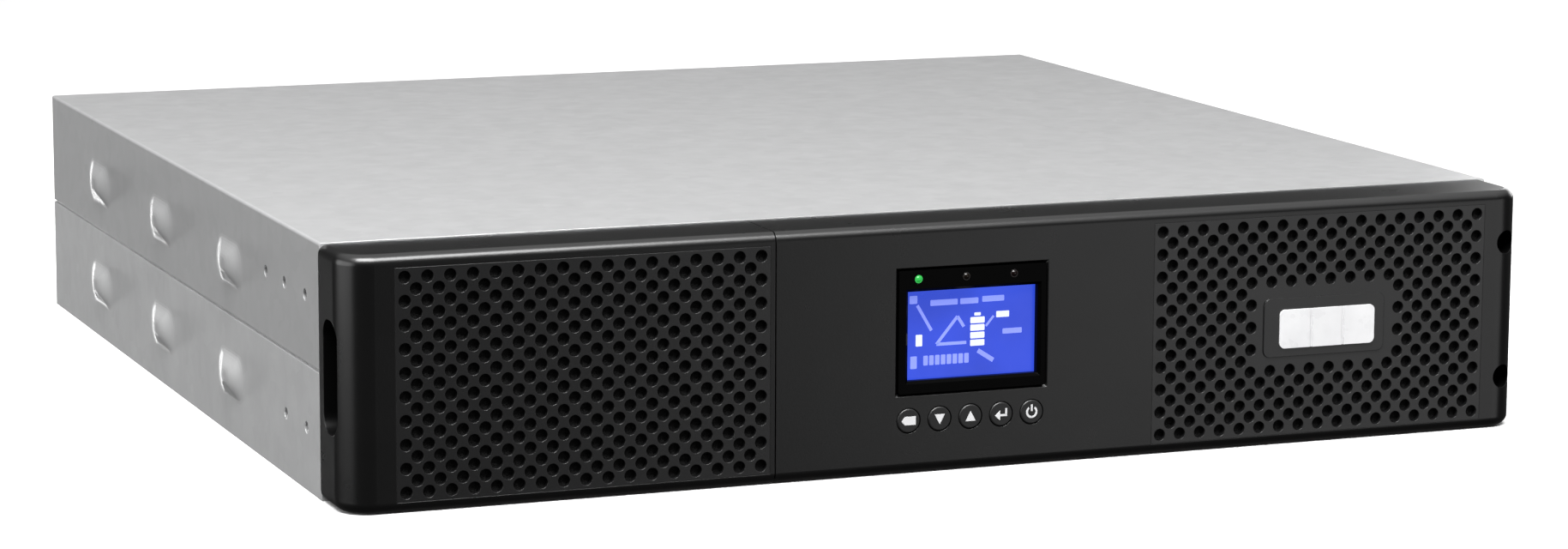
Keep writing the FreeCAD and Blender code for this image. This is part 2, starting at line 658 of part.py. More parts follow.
def display_board():
    board = box(-50.0, 42.0, BOARD_Y, BOARD_Y + BOARD_THICKNESS, 8.5, 77.0)
    header = box(-48.0, -40.0, BOARD_Y + BOARD_THICKNESS, BOARD_Y + BOARD_THICKNESS + 6,
                 RIBBON_Z - 11.5, RIBBON_Z + 11.5)
    chips = [box(x - 5, x + 5, BOARD_Y + BOARD_THICKNESS, BOARD_Y + BOARD_THICKNESS + 1.5, z - 5, z + 5)
             for x, z in ((-20.0, 30.0), (5.0, 40.0), (25.0, 55.0))]
    body = join([board, header] + chips)
    slot = box(-44.55, -43.45, BOARD_Y + BOARD_THICKNESS + 2, BOARD_Y + 10, RIBBON_Z - 10.1, RIBBON_Z + 10.1)
    return cut(body, [rod_y(x, z, 1.35, BOARD_Y - 1, BOARD_Y + 3) for x, z in display_bosses()] + [slot])


def display_screws():
    screws = []
    y = BOARD_Y + BOARD_THICKNESS
    for x, z in display_bosses():
        head = rod_y(x, z, 2.6, y, y + 1.8)
        shank = rod_y(x, z, 1.25, y - 6, y)
        slot = box(x - 3, x + 3, y + 1.1, y + 2, z - 0.35, z + 0.35)
        screws.append(join([head, shank]).cut(slot))
    return group(screws)


def button(x):
    """A round cap with a stem and a retaining flange behind the bezel's face."""
    front = BEZEL_FRONT - 0.25
    cap = rod_y(x, BUTTON_Z, BUTTON_R, front, BEZEL_BACK_OF_FACE + 0.1)
    cap = round_edges(cap, 0.5, lambda e: all_at(e, "y", front))
    flange = rod_y(x, BUTTON_Z, BUTTON_R + 0.9, BEZEL_BACK_OF_FACE + 0.1, BEZEL_BACK_OF_FACE + 1.1)
    stem = rod_y(x, BUTTON_Z, 1.6, BEZEL_BACK_OF_FACE + 1.1, SWITCH_TIP - BUTTON_TRAVEL - 0.1)
    return join([cap, flange, stem])


def button_switches():
    """Tactile switches: a square body and a round plunger under each button."""
    switches = []
    for x in button_places():
        body = box(x - 3, x + 3, BOARD_Y - 3.4, BOARD_Y, BUTTON_Z - 3, BUTTON_Z + 3)
        switches.append(join([body, rod_y(x, BUTTON_Z, 1.6, SWITCH_TIP, BOARD_Y - 3.4)]))
    return group(switches)


def display_ribbon():
    """The flat cable from the display board to the control board, in one straight run."""
    y0 = BOARD_Y + BOARD_THICKNESS + 2.5
    return box(-44.45, -43.55, y0, CONTROL_BOARD[2] - 4.5, RIBBON_Z - 10, RIBBON_Z + 10)


# Battery drawer --------------------------------------------------------------------------

def block_y(i):
    return BLOCK_FRONT + i * BLOCK_PITCH


def tray_span():
    return BAY_LEFT + TRAY_CLEARANCE, BAY_RIGHT - TRAY_CLEARANCE


def battery_tray():
    x0, x1 = tray_span()
    rear = block_y(BLOCKS - 1) + BLOCK_SIZE[1] + 0.3
    flange_back = DRAWER_FLANGE_Y + SHEET
    floor = box(x0, x1, flange_back, rear + SHEET, TRAY_Z, TRAY_Z + SHEET)
    left = box(x0, x0 + SHEET, flange_back, rear + SHEET, TRAY_Z, 42.0)
    right = box(x1 - SHEET, x1, flange_back, rear + SHEET, TRAY_Z, 42.0)
    back = box(x0, x1, rear, rear + SHEET, TRAY_Z, 48.0)
    flange = box(BAY_LEFT - 2, BAY_RIGHT + 2.2, DRAWER_FLANGE_Y, flange_back, TRAY_Z, 83.5)
    body = join([floor, left, right, back, flange])
    tools = []
    for x in drawer_screw_x():
        tools.append(rod_y(x, DRAWER_SCREW_Z, SCREW_HOLE_R, DRAWER_FLANGE_Y - 1, flange_back + 1))
    for x in handle_feet():
        tools.append(rod_y(x, HANDLE_Z, SCREW_HOLE_R, DRAWER_FLANGE_Y - 1, flange_back + 1))
    for i in range(5):
        x = PLUG_X + (i - 2) * 20.0
        tools.append(panel_block(x - 6, x + 6, 60.0, 66.0, DRAWER_FLANGE_Y - 1, flange_back + 1, 2.9))
    return cut(body, tools)


def handle_feet():
    return (PLUG_X - HANDLE_HALF, PLUG_X + HANDLE_HALF)


def tray_handle():
    """A bow handle: a round bar with feet screwed to the drawer's flange."""
    x0, x1 = handle_feet()
    out = DRAWER_FLANGE_Y - HANDLE_REACH
    bow = tube([(x0, DRAWER_FLANGE_Y - 1.5, HANDLE_Z), (x0, out, HANDLE_Z),
                (x1, out, HANDLE_Z), (x1, DRAWER_FLANGE_Y - 1.5, HANDLE_Z)], 3.5, 8.0)
    feet = [rod_y(x, HANDLE_Z, 6.0, DRAWER_FLANGE_Y - 2.0, DRAWER_FLANGE_Y) for x in (x0, x1)]
    pins = [rod_y(x, HANDLE_Z, SCREW_R, DRAWER_FLANGE_Y, DRAWER_FLANGE_Y + 3.0) for x in (x0, x1)]
    return join([bow] + feet + pins)


def tray_screws():
    """Captive thumb screws with knurled heads."""
    screws = []
    for x in drawer_screw_x():
        head = rod_y(x, DRAWER_SCREW_Z, 3.8, DRAWER_FLANGE_Y - 7.0, DRAWER_FLANGE_Y)
        notches = []
        for i in range(16):
            a = 2 * math.pi * i / 16
            notches.append(rod_y(x + 4.0 * math.cos(a), DRAWER_SCREW_Z + 4.0 * math.sin(a), 0.5,
                                 DRAWER_FLANGE_Y - 7.5, DRAWER_FLANGE_Y - 1.5))
        notches.append(box(x - 4, x + 4, DRAWER_FLANGE_Y - 7.5, DRAWER_FLANGE_Y - 6.0,
                           DRAWER_SCREW_Z - 0.5, DRAWER_SCREW_Z + 0.5))
        shank = rod_y(x, DRAWER_SCREW_Z, SCREW_R, DRAWER_FLANGE_Y, METAL_FRONT + 5)
        screws.append(join([cut(head, notches), shank]))
    return group(screws)


def battery_block(i):
    """A sealed block with a raised lid and a shallow grip groove at each end."""
    w, d, h = BLOCK_SIZE
    x0 = PLUG_X - w / 2
    y0 = block_y(i)
    z0 = TRAY_Z + SHEET
    lid = 12.0
    case = round_edges(box(x0, x0 + w, y0, y0 + d, z0, z0 + h), 1.5, upright)
    step = 0.6
    below = box(x0 - 1, x0 + w + 1, y0 - 1, y0 + d + 1, z0 + h - lid - 1.2, z0 + h - lid)
    below = below.cut(box(x0 + step, x0 + w - step, y0 + step, y0 + d - step, z0, z0 + h))
    vent_x = PLUG_X - 40.0
    vents = [box(vent_x, PLUG_X + 40.0, y0 + 26, y0 + 41, z0 + h - 0.8, z0 + h + 1)]
    return cut(case, [below] + vents)


def terminal_x():
    return (PLUG_X - 60.0, PLUG_X + 60.0)


def tab_y(i):
    return block_y(i) + 9.0


def block_top():
    return TRAY_Z + SHEET + BLOCK_SIZE[2]


def battery_terminals():
    top = block_top()
    return group([box(x - 0.4, x + 0.4, tab_y(i) - 3.1, tab_y(i) + 3.1, top, top + TAB_HEIGHT)
                  for i in range(BLOCKS) for x in terminal_x()])


def battery_leads():
    """Links between neighbouring blocks, and the leads from both ends of the string to the plug."""
    left, right = terminal_x()
    link_z = block_top() + TAB_HEIGHT + WIRE_R
    pieces = []
    for i in range(BLOCKS - 1):
        x = left if i % 2 == 0 else right
        pieces.append(rod_y(x, link_z, WIRE_R, tab_y(i) - 2, tab_y(i + 1) + 2))
    low = block_top() + WIRE_R + 0.3
    high = block_top() + TAB_HEIGHT + WIRE_R - 0.6
    down_y = block_y(BLOCKS - 1) + BLOCK_SIZE[1] + 6.2
    start = right - 0.4
    leads = ((0, low, right - 12, PLUG_X + 7), (BLOCKS - 1, high, right - 22, PLUG_X - 7))
    for first, z, run_x, plug_x in leads:
        y = tab_y(first)
        route = [(start, y, z), (run_x, y, z), (run_x, down_y, z), (plug_x, down_y, z),
                 (plug_x, down_y, PLUG_Z + 9.0)]
        pieces.append(tube(route, WIRE_R, 5.0))
    return group(pieces)


def battery_plug():
    """The floating half of the drawer's connector, on the tray's rear wall."""
    y0 = block_y(BLOCKS - 1) + BLOCK_SIZE[1] + 0.3 + SHEET
    housing = box(PLUG_X - 18, PLUG_X + 18, y0, y0 + 9.5, PLUG_Z - 9, PLUG_Z + 9)
    nose = round_edges(box(PLUG_X - 15, PLUG_X + 15, y0 + 9.5, y0 + 22, PLUG_Z - 6.5, PLUG_Z + 6.5), 1.5,
                       lambda e: all_at(e, "y", y0 + 22))
    wells = [rod_y(PLUG_X + dx, PLUG_Z, 2.6, y0 + 10, y0 + 23) for dx in (-7, 7)]
    return cut(join([housing, nose]), wells)


def battery_socket():
    """The fixed half, in the wall behind the batteries, with its two contact pins."""
    y0 = BAY_REAR_WALL_Y - 1.6
    flange = box(PLUG_X - 23, PLUG_X + 23, y0, BAY_REAR_WALL_Y, PLUG_Z - 14, PLUG_Z + 14)
    body = box(PLUG_X - 20, PLUG_X + 20, BAY_REAR_WALL_Y, BAY_REAR_WALL_Y + 19, PLUG_Z - 11, PLUG_Z + 11)
    well = box(PLUG_X - 15.6, PLUG_X + 15.6, y0 - 1, BAY_REAR_WALL_Y + 12.5, PLUG_Z - 7.1, PLUG_Z + 7.1)
    pins = [rod_y(PLUG_X + dx, PLUG_Z, 2.0, y0 + 3, BAY_REAR_WALL_Y + 14) for dx in (-7, 7)]
    return join([join([flange, body]).cut(well)] + pins)


def battery_cables():
    """Two cables from the fixed socket through the bay wall to the power board."""
    start = BAY_REAR_WALL_Y + 19
    top = BOARD_Z + BOARD_THICKNESS
    return group([tube([(PLUG_X + dx, start, PLUG_Z), (PLUG_X + dx, y, PLUG_Z), (x, y, PLUG_Z), (x, y, top)],
                       2.6, 8.0)
                  for dx, y, x in ((-7, 153.0, -56.0), (7, 142.0, -56.0))])


# Electronics -----------------------------------------------------------------------------

def board_top():
    return BOARD_Z + BOARD_THICKNESS


def standoff_places():
    x0, x1, y0, y1 = POWER_BOARD
    rows = (y0 + 8, (y0 + y1) / 2, y1 - 8)
    return [(x, y) for x in (x0 + 8, (x0 + x1) / 2 - 3, x1 - 8) for y in rows]


def power_board():
    x0, x1, y0, y1 = POWER_BOARD
    board = box(x0, x1, y0, y1, BOARD_Z, board_top())
    return cut(board, [rod_z(x, y, 1.6, BOARD_Z - 1, board_top() + 1) for x, y in standoff_places()])


def board_standoffs():
    """Hexagon pillars on the floor, each with a screw above the board."""
    pieces = []
    turns = [math.radians(60 * i) for i in range(7)]
    for x, y in standoff_places():
        corners = [V(x + 3.2 * math.cos(a), y + 3.2 * math.sin(a), FLOOR) for a in turns]
        pillar = Part.Face(Part.makePolygon(corners)).extrude(V(0, 0, BOARD_Z - FLOOR))
        shank = rod_z(x, y, 1.5, BOARD_Z - 2, board_top())
        head = rod_z(x, y, 2.8, board_top(), board_top() + 2)
        pieces.append(join([pillar, shank, head]))
    return group(pieces)


def heatsink(base_x, direction):
    """A comb of level fins on an upright base, extruded along the air's path."""
    z0, z1 = HEATSINK_Z
    y0, y1 = HEATSINK_Y
    base, reach, fin, pitch = 5.0, 34.0, 2.2, 9.3
    x1 = base_x + direction * base
    tip = base_x + direction * reach
    pieces = [box(*sorted((base_x, x1)), y0, y1, z0, z1)]
    for i in range(7):
        z = z0 + i * pitch
        pieces.append(box(*sorted((base_x, tip)), y0, y1, z, z + fin))
    for y in (y0 + 10, y1 - 16):
        pieces.append(box(*sorted((base_x, x1)), y, y + 6, board_top(), z0))
    return join(pieces)


def heatsinks():
    return group([heatsink(HEATSINK_X[0], 1), heatsink(HEATSINK_X[1], -1)])


def power_transistors():
    """Flat power packages against the backs of the heatsinks, each on three legs."""
    pieces = []
    for base_x, direction in zip(HEATSINK_X, (-1, 1)):
        for i in range(8):
            y = HEATSINK_Y[0] + 15 + i * 28.0
            near, far = base_x, base_x + direction * 5.0
            body = box(*sorted((near, far)), y, y + 16, 22.0, 43.0)
            tab = box(*sorted((near, near + direction * 2.0)), y, y + 16, 43.0, 47.0)
            mid = base_x + direction * 2.5
            legs = [box(mid - 0.3, mid + 0.3, y + 2.2 + n * 5.4, y + 3.4 + n * 5.4, board_top(), 22.0)
                    for n in range(3)]
            pieces.append(join([body, tab] + legs))
    return group(pieces)


def bus_capacitors():
    """Upright cans, each with a rolled groove and a scored top."""
    cans = []
    for x in (93.0, 126.0):
        for i in range(5):
            y = -128.0 + i * 34.0
            can = rod_z(x, y, 15.0, board_top(), board_top() + 50)
            can = round_edges(can, 1.5, lambda e: all_at(e, "z", board_top() + 50))
            groove = Part.makeTorus(15.6, 1.4, V(x, y, board_top() + 5))
            score = box(x - 9, x + 9, y - 0.4, y + 0.4, board_top() + 49.5, board_top() + 51)
            cans.append(cut(can, [groove, score]))
    return group(cans)


def power_inductors():
    """Wound ring cores lying on the board."""
    rings = []
    for y in (-58.0, -8.0, 42.0):
        ring = Part.makeTorus(15.5, 7.5, V(0, y, board_top() + 7.6))
        foot = rod_z(0, y, 11.0, board_top(), board_top() + 3.0)
        rings.append(join([ring, foot]))
    return group(rings)


def power_transformer():
    """A core of two facing E shapes around a square winding on a bobbin."""
    x0, x1, y0, y1 = -24.0, 26.0, -152.0, -98.0
    z0 = board_top() + 3
    core = box(x0, x1, y0 + 14, y1 - 14, z0, z0 + 42)
    core = core.cut(box(x0 + 9, x1 - 9, y0, y1, z0 + 9, z0 + 33))
    winding = round_edges(box(x0 + 9.2, x1 - 9.2, y0 + 3, y1 - 3, z0 + 9.2, z0 + 32.8), 4.0, upright)
    base = box(x0, x1, y0, y1, board_top(), z0)
    post = box(x0 + 16, x1 - 16, y0 + 5, y0 + 12, z0 - 1, z0 + 12)
    return join([core.fuse(base), winding, post, box(x0 + 9, x1 - 9, y0 + 14, y1 - 14, z0 + 33, z0 + 34)])


def relays():
    return group([round_edges(box(x, x + 13, 96.0, 125.0, board_top(), board_top() + 25), 0.8, upright)
                  for x in (-22.0, -6.0, 10.0, 26.0)])


def input_filter():
    """A common-mode choke between two film capacitors, near the mains inlet."""
    choke = Part.makeTorus(13.0, 6.0, V(8, 152, board_top() + 19.2), V(0, 1, 0))
    foot = box(-8, 24, 145, 159, board_top(), board_top() + 3)
    left = box(-35, -17, 140, 166, board_top(), board_top() + 20)
    right = box(40, 58, 140, 166, board_top(), board_top() + 20)
    return group([join([choke, foot]), left, right])


def control_board():
    """The upright control board with its chips, foot header and ribbon header."""
    x0, x1, y0, y1 = CONTROL_BOARD
    board = box(x0, x1, y0, y1, board_top() + 2, 76.0)
    foot = box(x0 - 1.5, x1 + 1.5, y0 + 20, y1 - 20, board_top(), board_top() + 8)
    chips = [box(x1, x1 + 1.8, y, y + size, 40.0, 40.0 + size)
             for y, size in ((-100.0, 20.0), (-60.0, 14.0), (-30.0, 10.0), (0.0, 12.0))]
    header = box(x1, x1 + 3.2, y0 - 6, y0 + 10, RIBBON_Z - 11.5, RIBBON_Z + 11.5)
    slot = box(x1 + 0.1, x1 + 1.2, y0 - 7, y0 - 4.4, RIBBON_Z - 10.1, RIBBON_Z + 10.1)
    return join([board, foot, header] + chips).cut(slot)


# Rear panel parts ------------------------------------------------------------------------

def fan_corners():
    return [(FAN_X + i * FAN_HOLE, FAN_Z + k * FAN_HOLE) for i in (-1, 1) for k in (-1, 1)]


def fan_frame():
    half = FAN_SIZE / 2
    y1 = PANEL_INNER
    y0 = y1 - FAN_DEPTH
    body = round_edges(box(FAN_X - half, FAN_X + half, y0, y1, FAN_Z - half, FAN_Z + half), 4.0, along_y)
    tools = [rod_y(FAN_X, FAN_Z, FAN_BORE_R, y0 - 1, y1 + 1)]
    for x, z in fan_corners():
        tools.append(rod_y(x, z, SCREW_HOLE_R, y0 - 1, y1 + 1))
    body = cut(body, tools)
    mount = rod_y(FAN_X, FAN_Z, HUB_R, y0, y0 + 2.5)
    pin = rod_y(FAN_X, FAN_Z, 1.5, y0 + 2.5, y0 + 14)
    arms = []
    for i in range(4):
        arm = box(FAN_X + HUB_R - 2, FAN_X + FAN_BORE_R + 1, y0, y0 + 2.5, FAN_Z - 2, FAN_Z + 2)
        arm.rotate(V(FAN_X, 0, FAN_Z), V(0, 1, 0), 45 + 90 * i)
        arms.append(arm)
    return join([body, mount, pin] + arms)


def fan_rotor():
    """A hub with seven pitched blades, turning on the frame's pin."""
    y0 = PANEL_INNER - FAN_DEPTH + 3.2
    y1 = PANEL_INNER - 1.2
    hub = rod_y(FAN_X, FAN_Z, HUB_R, y0, y1)
    hub = round_edges(hub, 1.5, lambda e: all_at(e, "y", y1))
    blades = []
    for i in range(7):
        blade = box(FAN_X - 11, FAN_X + 11, -0.8, 0.8, FAN_Z + HUB_R - 2, FAN_Z + ROTOR_R + 2)
        blade.rotate(V(FAN_X, 0, FAN_Z), V(0, 0, 1), 38)
        blade.translate(V(0, (y0 + y1) / 2, 0))
        blade.rotate(V(FAN_X, 0, FAN_Z), V(0, 1, 0), 360 * i / 7)
        blades.append(blade)
    sweep = rod_y(FAN_X, FAN_Z, ROTOR_R, y0 + 0.5, y1 - 0.5)
    body = join([hub] + [b.common(sweep) for b in blades])
    return body.cut(rod_y(FAN_X, FAN_Z, 1.55, y0 - 1, y0 + 11.5))


def fan_guard():
    """Wire rings on two crossed square bars with an eye at each corner."""
    y = METAL_REAR + GUARD_WIRE / 2
    ring_y = METAL_REAR + GUARD_WIRE + 0.3
    pieces = [Part.makeTorus(r, 0.8, V(FAN_X, ring_y, FAN_Z), V(0, 1, 0)) for r in (10, 18.5, 27, 35.5)]
    reach = FAN_HOLE * math.sqrt(2) - 3
    half = GUARD_WIRE / 2
    for angle in (45, 135):
        bar = box(FAN_X - reach, FAN_X + reach, y - half, y + half, FAN_Z - half, FAN_Z + half)
        bar.rotate(V(FAN_X, y, FAN_Z), V(0, 1, 0), angle)
        pieces.append(bar)
    for x, z in fan_corners():
        pieces.append(rod_y(x, z, 4.2, METAL_REAR, METAL_REAR + GUARD_WIRE))
    holes = [rod_y(x, z, SCREW_HOLE_R, METAL_REAR - 1, METAL_REAR + 3) for x, z in fan_corners()]
    return cut(join(pieces), holes)


def coupler_outline(x, z, half_w, half_h, chamfer, y):
    """The six-sided outline of a mains coupler, its upper corners cut off."""
    corners = [(-half_w, -half_h), (half_w, -half_h), (half_w, half_h - chamfer),
               (half_w - chamfer, half_h), (-half_w + chamfer, half_h), (-half_w, half_h - chamfer)]
    points = [V(x + dx, y, z + dz) for dx, dz in corners]
    return Part.Face(Part.makePolygon(points + points[:1]))


def blade_places(x, z):
    return ((x - 7.0, z - 1.5), (x, z + 2.5), (x + 7.0, z - 1.5))


def coupler_body(x, z):
    flange = panel_block(x - 16, x + 16, z - 13, z + 13, METAL_REAR, METAL_REAR + 2, 2.0)
    return join([flange, box(x - 13.8, x + 13.8, PANEL_INNER - 20, METAL_REAR, z - 10.2, z + 10.2)])


def outlet_socket(x, z):
    """A mains outlet: a core with three slots inside a narrow channel."""
    channel_y = METAL_REAR - 13
    channel = coupler_outline(x, z, 12.6, 8.9, 4.5, channel_y).cut(
        coupler_outline(x, z, 10.8, 7.1, 3.8, channel_y)).extrude(V(0, 20, 0))
    slots = [box(bx - 1.2, bx + 1.2, METAL_REAR - 10, METAL_REAR + 3, bz - 2.4, bz + 2.4)
             for bx, bz in blade_places(x, z)]
    return cut(coupler_body(x, z), [channel] + slots)


def outlet_sockets():
    return group([outlet_socket(x, z) for x in OUTLET_X for z in OUTLET_Z])


def inlet_socket():
    well = coupler_outline(INLET_X, INLET_Z, 12.3, 8.6, 4.5, METAL_REAR - 15).extrude(V(0, 20, 0))
    slots = [box(x - 1.1, x + 1.1, PANEL_INNER - 25, METAL_REAR - 10, z - 2.1, z + 2.1)
             for x, z in blade_places(INLET_X, INLET_Z)]
    return cut(coupler_body(INLET_X, INLET_Z), [well] + slots)


def inlet_pins():
    return group([box(x - 1.0, x + 1.0, PANEL_INNER - 23, METAL_REAR - 2, z - 2.0, z + 2.0)
                  for x, z in blade_places(INLET_X, INLET_Z)])


def outlet_board():
    """The upright board that the outlets and the inlet are soldered to."""
    y1 = PANEL_INNER - 20
    board = box(INLET_X - 17, 108.0, y1 - BOARD_THICKNESS, y1, 10.0, 76.0)
    slots = [box(x - 1.1, x + 1.1, y1 - 3, y1 + 1, z - 2.1, z + 2.1)
             for x, z in blade_places(INLET_X, INLET_Z)]
    return cut(board, slots)


def slot_cover():
    """The blank that closes the card slot, with a turned-in lip along its top and bottom."""
    x0, x1, z0, z1 = CARD_SLOT
    plate = panel_block(x0 - 9, x1 + 9, z0 - 4, z1 + 4, METAL_REAR, METAL_REAR + SHEET, 1.5)
    lips = [box(x0 + 1, x1 - 1, PANEL_INNER - 6, METAL_REAR, z, z + SHEET)
            for z in (z0 + 0.4, z1 - 0.4 - SHEET)]
    holes = [rod_y(x, (z0 + z1) / 2, SCREW_HOLE_R, METAL_REAR - 1, METAL_REAR + 3)
             for x in (x0 - 5, x1 + 5)]
    return cut(join([plate] + lips), holes)


def data_ports():
    """A square serial-bus socket and a nine-way serial connector, in metal shells."""
    y0 = PANEL_INNER - 14
    usb = box(DATA_X - 6, DATA_X + 6, y0, METAL_REAR + 0.8, USB_Z - 5.5, USB_Z + 5.5)
    usb = usb.cut(box(DATA_X - 4.3, DATA_X + 4.3, METAL_REAR - 8, METAL_REAR + 2, USB_Z - 3.9, USB_Z + 3.9))
    tongue = box(DATA_X - 2.8, DATA_X + 2.8, METAL_REAR - 9, METAL_REAR - 0.5, USB_Z - 1.6, USB_Z + 1.6)
    flange = panel_block(DATA_X - 15.4, DATA_X + 15.4, SERIAL_Z - 6.2, SERIAL_Z + 6.2,
                         METAL_REAR, METAL_REAR + 0.8, 1.5)
    back = box(DATA_X - 10, DATA_X + 10, y0, METAL_REAR, SERIAL_Z - 6, SERIAL_Z + 6)
    shell = serial_outline(9.0, METAL_REAR, 3.4)
    well = serial_outline(8.3, METAL_REAR - 5, 10)
    pins = []
    for count, z in ((5, 1.4), (4, -1.4)):
        for i in range(count):
            x = DATA_X + (i - (count - 1) / 2) * 2.75
            pins.append(rod_y(x, SERIAL_Z + z, 0.5, METAL_REAR - 6, METAL_REAR + 2.6))
    posts = [rod_y(DATA_X + dx, SERIAL_Z, 2.2, METAL_REAR + 0.8, METAL_REAR + 3.9) for dx in (-12.5, 12.5)]
    serial = join([join([flange, back, shell]).cut(well)] + pins + posts)
    return group([join([usb, tongue]), serial])


def serial_outline(half_w, y, depth):
    """The tapered outline of a nine-way connector, wider at the top."""
    half_h = 4.0 if half_w > 8.5 else 3.3
    corners = [(-half_w + 1.6, -half_h), (half_w - 1.6, -half_h), (half_w, half_h), (-half_w, half_h)]
    points = [V(DATA_X + dx, y, SERIAL_Z + dz) for dx, dz in corners]
    return Part.Face(Part.makePolygon(points + points[:1])).extrude(V(0, depth, 0))


def remote_terminal():
    """The two-way pluggable terminal of the remote power-off input."""
    body = box(DATA_X - 6.5, DATA_X + 6.5, PANEL_INNER - 12, METAL_REAR + 4, REMOTE_Z - 6, REMOTE_Z + 6)
    tools = []
    for dx in (-2.8, 2.8):
        x = DATA_X + dx
        tools.append(box(x - 1.5, x + 1.5, METAL_REAR - 4, METAL_REAR + 5, REMOTE_Z - 4.4, REMOTE_Z - 1.0))
        tools.append(rod_y(x, REMOTE_Z + 2.6, 1.7, METAL_REAR + 2.5, METAL_REAR + 5))
    return cut(body, tools)


def battery_port():
    """The socket for an external battery module, with two keyed wells."""
    x, z = BATTERY_PORT_X, BATTERY_PORT_Z
    flange = panel_block(x - 16, x + 16, z - 12, z + 12, METAL_REAR, METAL_REAR + 2, 2.0)
    body = box(x - 12, x + 12, PANEL_INNER - 24, METAL_REAR, z - 9, z + 9)
    tools = []
    contacts = []
    for mid in (x - 5.8, x + 5.8):
        well_y = (METAL_REAR - 14, METAL_REAR + 3)
        tools.append(panel_block(mid - 4.6, mid + 4.6, z - 6.4, z + 6.4, *well_y, 1.5))
        pin_y = (METAL_REAR - 15, METAL_REAR - 3)
        contacts.append(box(mid - 1.5, mid + 1.5, *pin_y, z - 4.5, z + 4.5))
    return join([cut(join([flange, body]), tools)] + contacts)


# All sub-parts ---------------------------------------------------------------------------

def sub_parts():
    parts = {
        "chassis_base": chassis_base(),
        "top_cover": top_cover(),
        "rear_panel": rear_panel(),
        "front_plate": front_plate(),
        "bay_wall": bay_wall(),
        "glide_strips": glide_strips(),
        "panel_screws": panel_screws(),
        "ground_stud": ground_stud(),
        "main_bezel": main_bezel(),
        "right_grille": right_grille(),
        "right_filter": dust_filter(RIGHT_GRILLE_X),
        "badge": badge(),
        "bezel_screws": bezel_screws(),
        "battery_cover": battery_cover(),
        "left_grille": grille(LEFT_GRILLE_X),
        "left_filter": dust_filter(LEFT_GRILLE_X),
        "display_frame": display_frame(),
        "lcd_panel": lcd_panel(),
        "display_board": display_board(),
        "display_screws": display_screws(),
        "green_led": led(GREEN_LED_X),
        "amber_led": led(UNLIT_LED_X[0]),
        "red_led": led(UNLIT_LED_X[1]),
        "button_switches": button_switches(),
        "display_ribbon": display_ribbon(),
        "battery_tray": battery_tray(),
        "tray_handle": tray_handle(),
        "tray_screws": tray_screws(),
        "battery_blocks": group([battery_block(i) for i in range(BLOCKS)]),
        "battery_terminals": battery_terminals(),
        "battery_leads": battery_leads(),
        "battery_plug": battery_plug(),
        "battery_socket": battery_socket(),
        "battery_cables": battery_cables(),
        "power_board": power_board(),
        "board_standoffs": board_standoffs(),
        "heatsinks": heatsinks(),
        "power_transistors": power_transistors(),
        "bus_capacitors": bus_capacitors(),
        "power_inductors": power_inductors(),
        "power_transformer": power_transformer(),
        "relays": relays(),
        "input_filter": input_filter(),
        "control_board": control_board(),
        "fan_frame": fan_frame(),
        "fan_rotor": fan_rotor(),
        "fan_guard": fan_guard(),
        "inlet_socket": inlet_socket(),
        "inlet_pins": inlet_pins(),
        "outlet_sockets": outlet_sockets(),
        "outlet_board": outlet_board(),
        "slot_cover": slot_cover(),
        "data_ports": data_ports(),
        "remote_terminal": remote_terminal(),
        "battery_port": battery_port(),
    }
    for name, x in zip(BUTTON_NAMES, button_places()):
        parts["button_" + name] = button(x)
    return parts


os.makedirs("parts", exist_ok=True)
for name, shape in sub_parts().items():
    save(name, shape)
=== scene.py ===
import json
import math

import bmesh
import bpy
from mathutils import Matrix, Vector


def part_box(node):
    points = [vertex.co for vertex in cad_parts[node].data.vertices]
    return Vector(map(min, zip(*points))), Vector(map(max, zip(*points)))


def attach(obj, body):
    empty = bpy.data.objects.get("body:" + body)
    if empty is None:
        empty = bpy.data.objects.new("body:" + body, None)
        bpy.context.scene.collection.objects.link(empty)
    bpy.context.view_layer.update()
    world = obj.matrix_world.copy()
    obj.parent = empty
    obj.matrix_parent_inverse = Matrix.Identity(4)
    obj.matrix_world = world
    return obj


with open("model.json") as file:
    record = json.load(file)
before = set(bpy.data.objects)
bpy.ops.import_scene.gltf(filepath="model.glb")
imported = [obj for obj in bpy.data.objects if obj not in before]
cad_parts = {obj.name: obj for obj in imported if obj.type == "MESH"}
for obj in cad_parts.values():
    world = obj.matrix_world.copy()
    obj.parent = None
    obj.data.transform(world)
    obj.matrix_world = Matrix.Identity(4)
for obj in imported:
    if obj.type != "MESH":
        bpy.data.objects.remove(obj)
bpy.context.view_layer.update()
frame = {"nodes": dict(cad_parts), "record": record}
MM = 0.001

# Camera: a long lens, from the front left and a little above; turns in degrees
CAMERA_PLACE = (-0.6091, -1.5961, 0.3210)
CAMERA_PAN = 21.522
CAMERA_TILT = 9.550
CAMERA_ROLL = 0.268
SENSOR_WIDTH = 36.0
LENS_LENGTH = 102.94

# Light: radiance of the sky, by the height of a direction above the horizon
SKY_HORIZON = 0.05
SKY_ZENITH = 1.0
SKY_RISE = (0.27, 0.9)
# Softboxes: place, point that they face, width and height in metres, watts
SOFTBOXES = {
    "overhead": ((-0.3, -0.85, 1.4), (-0.1, -0.2, 0.05), 1.4, 0.8, 57.0),
    "left": ((-1.45, -0.1, 0.28), (-0.2, -0.1, 0.05), 1.7, 0.8, 9.2),
    "rear": ((-0.27, 1.9, -0.25), (-0.22, 0.0, 0.05), 0.16, 0.5, 1.0),
    "front_right": ((1.15, -1.6, -0.1), (0.1, -0.2, 0.05), 1.3, 0.8, 2.3),
    "right": ((1.5, 0.9, 0.35), (0.1, 0.1, 0.05), 1.2, 0.6, 7.0),
}
# Floor: how light it looks, and how much light it throws back on the object
FLOOR_SEEN = 0.95
FLOOR_BOUNCE = 0.04
FLOOR_HALF_SIZE = 9.0

